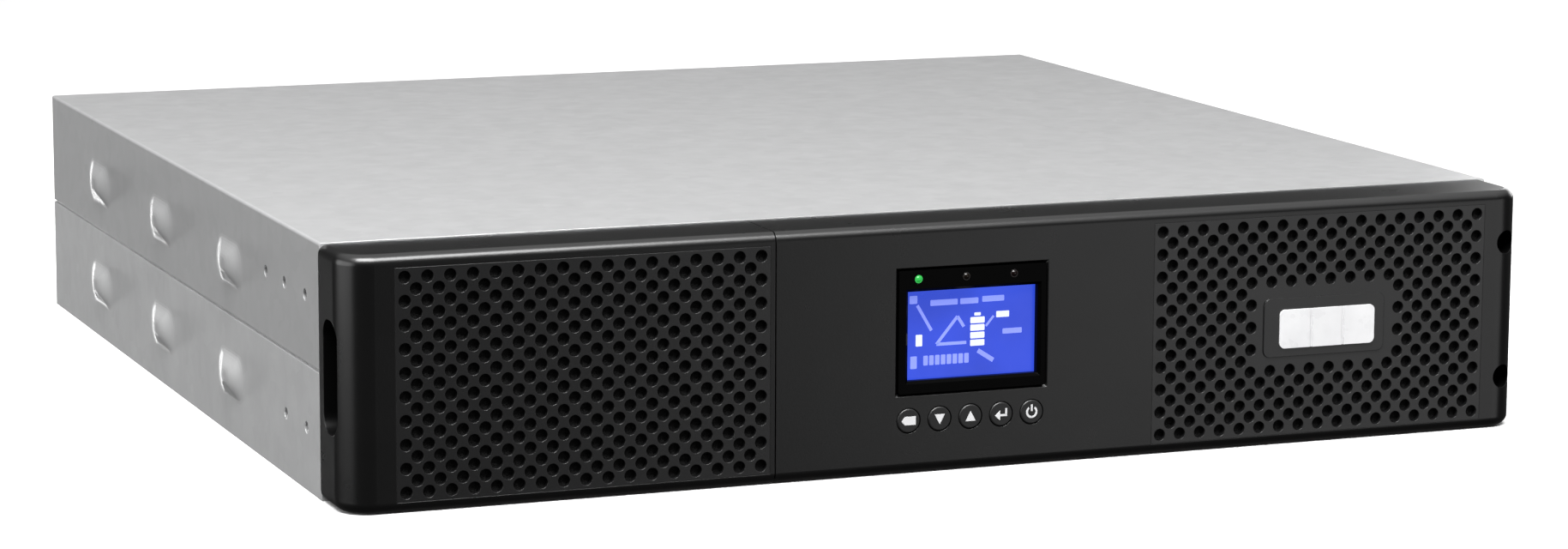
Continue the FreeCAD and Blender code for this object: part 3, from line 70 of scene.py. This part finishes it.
ICON_THICKNESS = 0.05 * MM
MARK_THICKNESS = 0.06 * MM
DISPLAY_BORDER = 2.5 * MM


# Camera -----------------------------------------------------------------------------------

def add_camera():
    camera = bpy.data.cameras.new("camera")
    camera.sensor_width = SENSOR_WIDTH
    camera.lens = LENS_LENGTH
    camera.clip_end = 50.0
    obj = bpy.data.objects.new("camera", camera)
    bpy.context.scene.collection.objects.link(obj)
    obj.location = CAMERA_PLACE
    pan, tilt, roll = (math.radians(a) for a in (CAMERA_PAN, CAMERA_TILT, CAMERA_ROLL))
    level = Matrix.Rotation(-pan, 4, "Z") @ Matrix.Rotation(math.pi / 2 - tilt, 4, "X")
    obj.rotation_euler = (level @ Matrix.Rotation(roll, 4, "Z")).to_euler()
    bpy.context.scene.camera = obj


# Materials --------------------------------------------------------------------------------

def set_socket(shader, name, value):
    shader.inputs[name].default_value = value


class Surface:
    """A material around one Principled shader, in the object's own coordinates."""

    def __init__(self, name, colour, roughness, metallic=0.0, **sockets):
        self.mat = bpy.data.materials.new(name)
        self.mat.use_nodes = True
        self.tree = self.mat.node_tree
        self.shader = self.tree.nodes["Principled BSDF"]
        self.colour = colour
        self.roughness = roughness
        set_socket(self.shader, "Base Color", (*colour, 1.0))
        set_socket(self.shader, "Roughness", roughness)
        set_socket(self.shader, "Metallic", metallic)
        for socket, value in sockets.items():
            set_socket(self.shader, socket.replace("_", " "), value)
        self.coordinates = self.tree.nodes.new("ShaderNodeTexCoord")
        self.normal = None

    def node(self, kind, **values):
        made = self.tree.nodes.new(kind)
        for key, value in values.items():
            setattr(made, key, value)
        return made

    def join(self, output, socket):
        self.tree.links.new(output, socket)

    def stretched(self, stretch):
        if stretch is None:
            return self.coordinates.outputs["Object"]
        mapping = self.node("ShaderNodeMapping")
        mapping.inputs["Scale"].default_value = stretch
        self.join(self.coordinates.outputs["Object"], mapping.inputs["Vector"])
        return mapping.outputs["Vector"]

    def noise(self, size, detail=3.0, stretch=None):
        """Noise whose features are about size metres across."""
        made = self.node("ShaderNodeTexNoise")
        made.inputs["Scale"].default_value = 1.0 / size
        made.inputs["Detail"].default_value = detail
        self.join(self.stretched(stretch), made.inputs["Vector"])
        return made.outputs["Fac"]

    def cells(self, size):
        """A random level for each crystal-like cell, about size metres across."""
        made = self.node("ShaderNodeTexVoronoi")
        made.inputs["Scale"].default_value = 1.0 / size
        self.join(self.coordinates.outputs["Object"], made.inputs["Vector"])
        level = self.node("ShaderNodeSeparateColor")
        self.join(made.outputs["Color"], level.inputs["Color"])
        return level.outputs["Red"]

    def ranged(self, value, low, high, from_low=0.3, from_high=0.7):
        made = self.node("ShaderNodeMapRange")
        made.inputs["From Min"].default_value = from_low
        made.inputs["From Max"].default_value = from_high
        made.inputs["To Min"].default_value = low
        made.inputs["To Max"].default_value = high
        self.join(value, made.inputs["Value"])
        return made.outputs["Result"]

    def tint(self, value, low, high, from_low=0.3, from_high=0.7):
        """The colour goes from low to high times itself as value rises."""
        ramp = self.node("ShaderNodeMix", data_type="RGBA")
        ramp.inputs["A"].default_value = (*[c * low for c in self.colour], 1.0)
        ramp.inputs["B"].default_value = (*[c * high for c in self.colour], 1.0)
        self.join(self.ranged(value, 0.0, 1.0, from_low, from_high), ramp.inputs["Factor"])
        self.join(ramp.outputs["Result"], self.shader.inputs["Base Color"])
        return self

    def shade(self, other, low, high, from_low=0.3, from_high=0.7):
        """Multiplies whatever the base colour is by a second variation."""
        link = self.shader.inputs["Base Color"].links[0]
        mix = self.node("ShaderNodeMix", data_type="RGBA", blend_type="MULTIPLY")
        mix.inputs["Factor"].default_value = 1.0
        grey = self.node("ShaderNodeCombineColor")
        level = self.ranged(other, low, high, from_low, from_high)
        for channel in ("Red", "Green", "Blue"):
            self.join(level, grey.inputs[channel])
        self.join(link.from_socket, mix.inputs["A"])
        self.join(grey.outputs["Color"], mix.inputs["B"])
        self.join(mix.outputs["Result"], self.shader.inputs["Base Color"])
        return self

    def gloss(self, value, spread):
        """Roughness wanders by spread about its middle."""
        level = self.ranged(value, self.roughness - spread, self.roughness + spread)
        self.join(level, self.shader.inputs["Roughness"])
        return self

    def bump(self, value, height):
        """Relief of about height metres; several can follow each other."""
        made = self.node("ShaderNodeBump")
        made.inputs["Strength"].default_value = 1.0
        made.inputs["Distance"].default_value = height
        self.join(value, made.inputs["Height"])
        if self.normal:
            self.join(self.normal, made.inputs["Normal"])
        self.normal = made.outputs["Normal"]
        self.join(self.normal, self.shader.inputs["Normal"])
        return self

    def soft_edges(self, radius):
        """Catches light along hard edges, as a worn or moulded edge does."""
        made = self.node("ShaderNodeBevel", samples=4)
        made.inputs["Radius"].default_value = radius
        self.normal = made.outputs["Normal"]
        self.join(self.normal, self.shader.inputs["Normal"])
        return self


def galvanised(name, level, roughness=0.36, metallic=0.5, cloud=0.04, roll=0.03):
    """Zinc-coated sheet: soft spangle, a cloudy film and a faint rolling grain."""
    s = Surface(name, (level, level * 1.005, level * 1.01), roughness, metallic)
    s.soft_edges(0.35 * MM)
    s.tint(s.cells(6 * MM), 0.98, 1.02, 0.0, 1.0)
    s.shade(s.noise(20 * MM, 4.0), 1.0 - cloud, 1.0 + cloud)
    s.gloss(s.noise(9 * MM, 2.0), 0.015)
    s.bump(s.noise(16 * MM, 1.0, (1.0, 0.35, 1.0)), roll * MM)
    return s.bump(s.noise(0.6 * MM, 2.0), 0.002 * MM)


def moulded(name, level, roughness=0.28, grain=0.015):
    """Black moulded plastic with a fine spark-eroded grain."""
    s = Surface(name, (level, level, level * 1.03), roughness, Specular_IOR_Level=0.75)
    s.soft_edges(0.3 * MM)
    s.tint(s.noise(40 * MM, 3.0), 0.95, 1.05)
    s.gloss(s.noise(18 * MM, 3.0), 0.008)
    return s.bump(s.noise(0.45 * MM, 2.0), grain * MM)


def plastic(name, colour, roughness=0.4, grain=0.02, **sockets):
    s = Surface(name, colour, roughness, **sockets)
    s.soft_edges(0.2 * MM)
    s.tint(s.noise(12 * MM, 3.0), 0.93, 1.07)
    s.gloss(s.noise(6 * MM, 2.0), 0.04)
    return s.bump(s.noise(0.4 * MM, 2.0), grain * MM)


def plated(name, colour, roughness=0.25):
    """Plated or turned metal with fine scratches."""
    s = Surface(name, colour, roughness, 1.0)
    s.soft_edges(0.12 * MM)
    s.tint(s.noise(3 * MM, 3.0), 0.9, 1.08)
    s.gloss(s.noise(1.5 * MM, 3.0, (1.0, 6.0, 1.0)), 0.08)
    return s.bump(s.noise(0.3 * MM, 2.0, (1.0, 5.0, 1.0)), 0.004 * MM)


def glowing(name, colour, glow, strength, roughness=0.25):
    """Plastic that shines by itself, a little unevenly."""
    s = Surface(name, colour, roughness)
    s.gloss(s.noise(5 * MM), 0.03)
    s.tint(s.noise(9 * MM), 0.9, 1.1)
    glow_mix = s.node("ShaderNodeMix", data_type="RGBA")
    glow_mix.inputs["A"].default_value = (*[c * 0.86 for c in glow], 1.0)
    glow_mix.inputs["B"].default_value = (*[min(1.0, c * 1.14) for c in glow], 1.0)
    s.join(s.ranged(s.noise(22 * MM, 1.0), 0.0, 1.0), glow_mix.inputs["Factor"])
    s.join(glow_mix.outputs["Result"], s.shader.inputs["Emission Color"])
    set_socket(s.shader, "Emission Strength", strength)
    return s


# Near-black foam filter behind the grilles; its very dark colour is the foam's own and also paints
# in the shade that fills the grille holes.
def foam(name):
    s = Surface(name, (0.006, 0.006, 0.006), 0.95)
    s.tint(s.noise(1.2 * MM, 4.0), 0.4, 1.8)
    return s.bump(s.noise(1.0 * MM, 3.0), 0.5 * MM)


def circuit(name):
    """Solder mask over copper tracks that run in two directions."""
    s = Surface(name, (0.012, 0.10, 0.045), 0.32)
    s.tint(s.noise(2.4 * MM, 2.0, (1.0, 0.12, 1.0)), 0.6, 1.5, 0.45, 0.55)
    s.shade(s.noise(2.4 * MM, 2.0, (0.12, 1.0, 1.0)), 0.8, 1.2, 0.45, 0.55)
    return s.bump(s.noise(2.4 * MM, 2.0, (1.0, 0.12, 1.0)), 0.03 * MM)


def winding(name, colour, roughness=0.28):
    """Enamelled wire laid side by side."""
    s = Surface(name, colour, roughness)
    # The colour follows the same stripes as the bump: darker in the grooves between turns and
    # lighter on their crowns, a painted shade and painted highlight.
    s.tint(s.noise(1.4 * MM, 1.0, (0.2, 1.0, 0.2)), 0.55, 1.4, 0.4, 0.6)
    return s.bump(s.noise(1.4 * MM, 1.0, (0.2, 1.0, 0.2)), 0.5 * MM)


MATERIALS = {
    # The base sheet's zinc is set lighter than the cover's, so the lower half of each side reads
    # lighter: painted bounce light from the floor, on top of the sheet's own tone.
    "galvanised": lambda: galvanised("side_zinc", 0.80, 0.25, roll=0.01),
    "top_sheet": lambda: galvanised("top_zinc", 0.66, 0.25, cloud=0.008, roll=0.002),
    "bezel_black": lambda: moulded("bezel_plastic", 0.0015),
    "grille_black": lambda: moulded("grille_plastic", 0.008),
    "filter_foam": lambda: foam("foam"),
    "badge_light": lambda: plastic("badge_plastic", (0.80, 0.80, 0.81), 0.3),
    "display_black": lambda: plastic("display_gloss", (0.001, 0.001, 0.001), 0.15, 0.0,
                                     Specular_IOR_Level=0.03),
    "lcd_blue": lambda: glowing("display_blue", (0.01, 0.01, 0.04), (0.026, 0.070, 0.66), 1.0),
    "led_green": lambda: glowing("led_lit", (0.02, 0.2, 0.04), (0.015, 0.36, 0.05), 0.8),
    "led_amber": lambda: plastic("led_amber_unlit", (0.004, 0.002, 0.001), 0.2, 0.0),
    "led_red": lambda: plastic("led_red_unlit", (0.004, 0.001, 0.001), 0.2, 0.0),
    "button_dark": lambda: moulded("button_plastic", 0.008, 0.38),
    "circuit_board": lambda: circuit("solder_mask"),
    "switch_black": lambda: plastic("switch_plastic", (0.015, 0.015, 0.015)),
    "ribbon_grey": lambda: plastic("ribbon_plastic", (0.35, 0.35, 0.36), 0.5),
    "screw_zinc": lambda: plated("screw_metal", (0.62, 0.61, 0.58), 0.28),
    "screw_black": lambda: plated("screw_dark", (0.05, 0.05, 0.05), 0.4),
    "handle_black": lambda: moulded("handle_coat", 0.02, 0.35, 0.05),
    "battery_case": lambda: plastic("battery_plastic", (0.045, 0.048, 0.052), 0.42, 0.04),
    "terminal_brass": lambda: plated("terminal_metal", (0.70, 0.62, 0.42), 0.3),
    "wire_red": lambda: plastic("wire_red", (0.50, 0.02, 0.02), 0.35),
    "wire_black": lambda: plastic("wire_black", (0.02, 0.02, 0.02), 0.35),
    "connector_grey": lambda: plastic("connector_grey", (0.12, 0.12, 0.13), 0.4),
    "connector_black": lambda: plastic("connector_black", (0.012, 0.012, 0.013), 0.38),
    "standoff_brass": lambda: plated("standoff_metal", (0.72, 0.55, 0.25), 0.3),
    "heatsink_alu": lambda: plated("heatsink_metal", (0.68, 0.69, 0.70), 0.35),
    "package_black": lambda: plastic("package_plastic", (0.014, 0.014, 0.015), 0.5),
    "can_blue": lambda: plastic("can_sleeve", (0.02, 0.035, 0.13), 0.25),
    "coil_copper": lambda: winding("coil_wire", (0.42, 0.15, 0.05)),
    "core_dark": lambda: winding("core_laminations", (0.07, 0.06, 0.05), 0.5),
    "relay_blue": lambda: plastic("relay_plastic", (0.03, 0.09, 0.30), 0.35),
    "filter_yellow": lambda: plastic("filter_film", (0.55, 0.38, 0.05), 0.35),
    "fan_black": lambda: moulded("fan_plastic", 0.012, 0.4, 0.03),
    "guard_chrome": lambda: plated("guard_wire", (0.70, 0.70, 0.71), 0.18),
    "pin_nickel": lambda: plated("nickel", (0.68, 0.66, 0.62), 0.22),
    "terminal_green": lambda: plastic("terminal_plastic", (0.02, 0.26, 0.07), 0.35),
    "strip_white": lambda: plastic("strip_plastic", (0.70, 0.70, 0.68), 0.3),
}


def dress_cad_nodes():
    """Gives each CAD node the material of its slot in the record."""
    made = {slot: make().mat for slot, make in MATERIALS.items()}
    for entry in frame["record"]["subparts"]:
        obj = frame["nodes"][entry["node"]]
        obj.data.materials.clear()
        obj.data.materials.append(made[entry["material_slot"]])
    return made


# Thin printed shapes ----------------------------------------------------------------------

def plate_mesh(name, outlines, y, thickness):
    """Flat shapes facing the front, each from a list of (x, z) corners, joined in one mesh."""
    bm = bmesh.new()
    for outline in outlines:
        front = [bm.verts.new((x, y - thickness, z)) for x, z in outline]
        back = [bm.verts.new((x, y, z)) for x, z in outline]
        bm.faces.new(front)
        bm.faces.new(back[::-1])
        count = len(outline)
        for i in range(count):
            j = (i + 1) % count
            bm.faces.new((front[i], back[i], back[j], front[j]))
    bmesh.ops.recalc_face_normals(bm, faces=bm.faces)
    mesh = bpy.data.meshes.new(name)
    bm.to_mesh(mesh)
    bm.free()
    obj = bpy.data.objects.new(name, mesh)
    bpy.context.scene.collection.objects.link(obj)
    return obj


def rectangle(x0, x1, z0, z1, r=0.0, steps=4):
    """Corners of a rectangle, rounded by r."""
    if not r:
        return [(x0, z0), (x1, z0), (x1, z1), (x0, z1)]
    corners = []
    turns = ((x1 - r, z0 + r, -90), (x1 - r, z1 - r, 0),
             (x0 + r, z1 - r, 90), (x0 + r, z0 + r, 180))
    for cx, cz, start in turns:
        for i in range(steps + 1):
            a = math.radians(start + 90 * i / steps)
            corners.append((cx + r * math.cos(a), cz + r * math.sin(a)))
    return corners


def stroke(a, b, width):
    """A straight bar between two points."""
    along = (Vector(b) - Vector(a)).normalized()
    side = Vector((-along.y, along.x)) * width / 2
    a, b = Vector(a), Vector(b)
    return [tuple(p) for p in (a - side, b - side, b + side, a + side)]


def ring_pieces(cx, cz, r, width, start, end, steps=14):
    """A circular band as short bars."""
    angles = [math.radians(start + (end - start) * i / steps) for i in range(steps + 1)]
    return [[(cx + q * math.cos(t), cz + q * math.sin(t)) for q, t in
             ((r - width / 2, a), (r - width / 2, b), (r + width / 2, b), (r + width / 2, a))]
            for a, b in zip(angles, angles[1:])]


def finish_piece(obj, body, mat):
    obj.data.materials.append(mat)
    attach(obj, body)


def button_icons(made):
    """A light symbol on each button's cap, none of them a letter."""
    w = 0.75 * MM
    shapes = {
        "escape": [[(-2.7, 0.0), (-1.5, 1.5), (2.6, 1.5), (2.6, -1.5), (-1.5, -1.5)]],
        "down": [[(-1.9, 1.6), (1.9, 1.6), (0.0, -2.0)]],
        "up": [[(-1.9, -1.6), (1.9, -1.6), (0.0, 2.0)]],
        "enter": [[(-2.4, -0.4), (-0.4, 1.4), (-0.4, -2.2)]],
        "power": [],
    }
    for name, outlines in shapes.items():
        low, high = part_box("button_" + name)
        cx, cz = (low.x + high.x) / 2, (low.z + high.z) / 2

        def on_cap(x, z):
            return cx + x * MM, cz + z * MM

        placed = [[on_cap(x, z) for x, z in outline] for outline in outlines]
        if name == "enter":
            placed.append(stroke(on_cap(-0.4, -0.4), on_cap(2.2, -0.4), w))
            placed.append(stroke(on_cap(1.85, -0.1), on_cap(1.85, 2.0), w))
        if name == "power":
            placed += ring_pieces(cx, cz, 1.8 * MM, w, 125, 415)
            placed.append(stroke(on_cap(0.0, 0.3), on_cap(0.0, 2.6), w))
        icon = plate_mesh("icon_" + name, placed, low.y, ICON_THICKNESS)
        finish_piece(icon, "key_" + name, made["icon"])


def display_symbols(made):
    """A flow sketch with a battery, and plain bars for the display's lines of text."""
    low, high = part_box("lcd_panel")
    x0, x1 = low.x + DISPLAY_BORDER, high.x - DISPLAY_BORDER
    z0, z1 = low.z + DISPLAY_BORDER, high.z - DISPLAY_BORDER

    def at(u, v):
        return x0 + (x1 - x0) * u, z1 - (z1 - z0) * v

    def bar(u0, u1, v0, v1, r=0.3 * MM):
        a, b = at(u0, v1), at(u1, v0)
        return rectangle(a[0], b[0], a[1], b[1], r)

    def line(a, b, width=1.1):
        return stroke(at(*a), at(*b), width * MM)

    white = [bar(0.50, 0.61, 0.34 + 0.085 * i, 0.41 + 0.085 * i) for i in range(4)]
    white += [bar(0.53, 0.58, 0.29, 0.325),
              bar(0.08, 0.13, 0.50, 0.63), bar(0.70, 0.80, 0.29, 0.36)]
    pale = [bar(0.03, 0.09, 0.06, 0.15), bar(0.19, 0.40, 0.12, 0.185), bar(0.42, 0.56, 0.12, 0.185),
            bar(0.59, 0.76, 0.11, 0.175), bar(0.75, 0.90, 0.49, 0.55), bar(0.04, 0.09, 0.74, 0.88),
            line((0.09, 0.17), (0.20, 0.46)), line((0.40, 0.32), (0.24, 0.62)),
            line((0.24, 0.62), (0.47, 0.62)), line((0.40, 0.32), (0.45, 0.44)),
            line((0.56, 0.72), (0.68, 0.84), 1.6), line((0.62, 0.45), (0.68, 0.34), 0.8)]
    pale += [bar(0.14 + 0.045 * i, 0.175 + 0.045 * i, 0.74, 0.85) for i in range(8)]
    for name, outlines in (("display_marks_white", white), ("display_marks_pale", pale)):
        obj = plate_mesh(name, outlines, low.y, MARK_THICKNESS)
        finish_piece(obj, "chassis", made[name])


# Stage ------------------------------------------------------------------------------------

def add_floor():
    mesh = bpy.data.meshes.new("floor")
    bm = bmesh.new()
    bmesh.ops.create_grid(bm, x_segments=1, y_segments=1, size=FLOOR_HALF_SIZE)
    bm.to_mesh(mesh)
    bm.free()
    floor = bpy.data.objects.new("floor", mesh)
    bpy.context.scene.collection.objects.link(floor)
    s = Surface("floor_paper", (FLOOR_SEEN,) * 3, 0.9)
    path = s.node("ShaderNodeLightPath")
    s.tint(path.outputs["Is Camera Ray"], FLOOR_BOUNCE / FLOOR_SEEN, 1.0, 0.0, 1.0)
    mesh.materials.append(s.mat)
    floor.visible_glossy = False
    floor.visible_shadow = False


def add_softboxes():
    for name, (place, aim, width, height, power) in SOFTBOXES.items():
        light = bpy.data.lights.new(name, "AREA")
        light.shape = "RECTANGLE"
        light.size = width
        light.size_y = height
        light.energy = power
        obj = bpy.data.objects.new(name, light)
        bpy.context.scene.collection.objects.link(obj)
        obj.location = place
        obj.rotation_euler = (Vector(aim) - Vector(place)).to_track_quat("-Z", "Y").to_euler()


def add_sky():
    """Bright overhead, dim at the horizon; the eye sees plain white beyond the floor."""
    world = bpy.data.worlds.new("studio")
    bpy.context.scene.world = world
    world.use_nodes = True
    tree = world.node_tree
    tree.nodes.clear()
    direction = tree.nodes.new("ShaderNodeTexCoord")
    parts = tree.nodes.new("ShaderNodeSeparateXYZ")
    tree.links.new(direction.outputs["Generated"], parts.inputs["Vector"])
    level = tree.nodes.new("ShaderNodeMapRange")
    level.interpolation_type = "SMOOTHSTEP"
    level.inputs["From Min"].default_value = SKY_RISE[0]
    level.inputs["From Max"].default_value = SKY_RISE[1]
    level.inputs["To Min"].default_value = SKY_HORIZON
    level.inputs["To Max"].default_value = SKY_ZENITH
    tree.links.new(parts.outputs["Z"], level.inputs["Value"])
    lit = tree.nodes.new("ShaderNodeBackground")
    seen = tree.nodes.new("ShaderNodeBackground")
    path = tree.nodes.new("ShaderNodeLightPath")
    mix = tree.nodes.new("ShaderNodeMixShader")
    out = tree.nodes.new("ShaderNodeOutputWorld")
    lit.inputs["Color"].default_value = (1.0, 1.0, 1.0, 1.0)
    seen.inputs["Color"].default_value = (1.0, 1.0, 1.0, 1.0)
    tree.links.new(level.outputs["Result"], lit.inputs["Strength"])
    tree.links.new(path.outputs["Is Camera Ray"], mix.inputs["Fac"])
    tree.links.new(lit.outputs["Background"], mix.inputs[1])
    tree.links.new(seen.outputs["Background"], mix.inputs[2])
    tree.links.new(mix.outputs["Shader"], out.inputs["Surface"])


def set_colours():
    view = bpy.context.scene.view_settings
    view.view_transform = "Standard"
    view.look = "None"
    view.exposure = 0.0
    view.gamma = 1.0


add_camera()
made = dress_cad_nodes()
made["icon"] = plastic("icon_ink", (0.72, 0.72, 0.73), 0.5).mat
made["display_marks_white"] = glowing("marks_white", (0.3, 0.3, 0.4), (0.60, 0.65, 0.92), 1.0).mat
made["display_marks_pale"] = glowing("marks_pale", (0.1, 0.1, 0.3), (0.20, 0.27, 0.86), 1.0).mat
button_icons(made)
display_symbols(made)
add_floor()
add_sky()
add_softboxes()
set_colours()
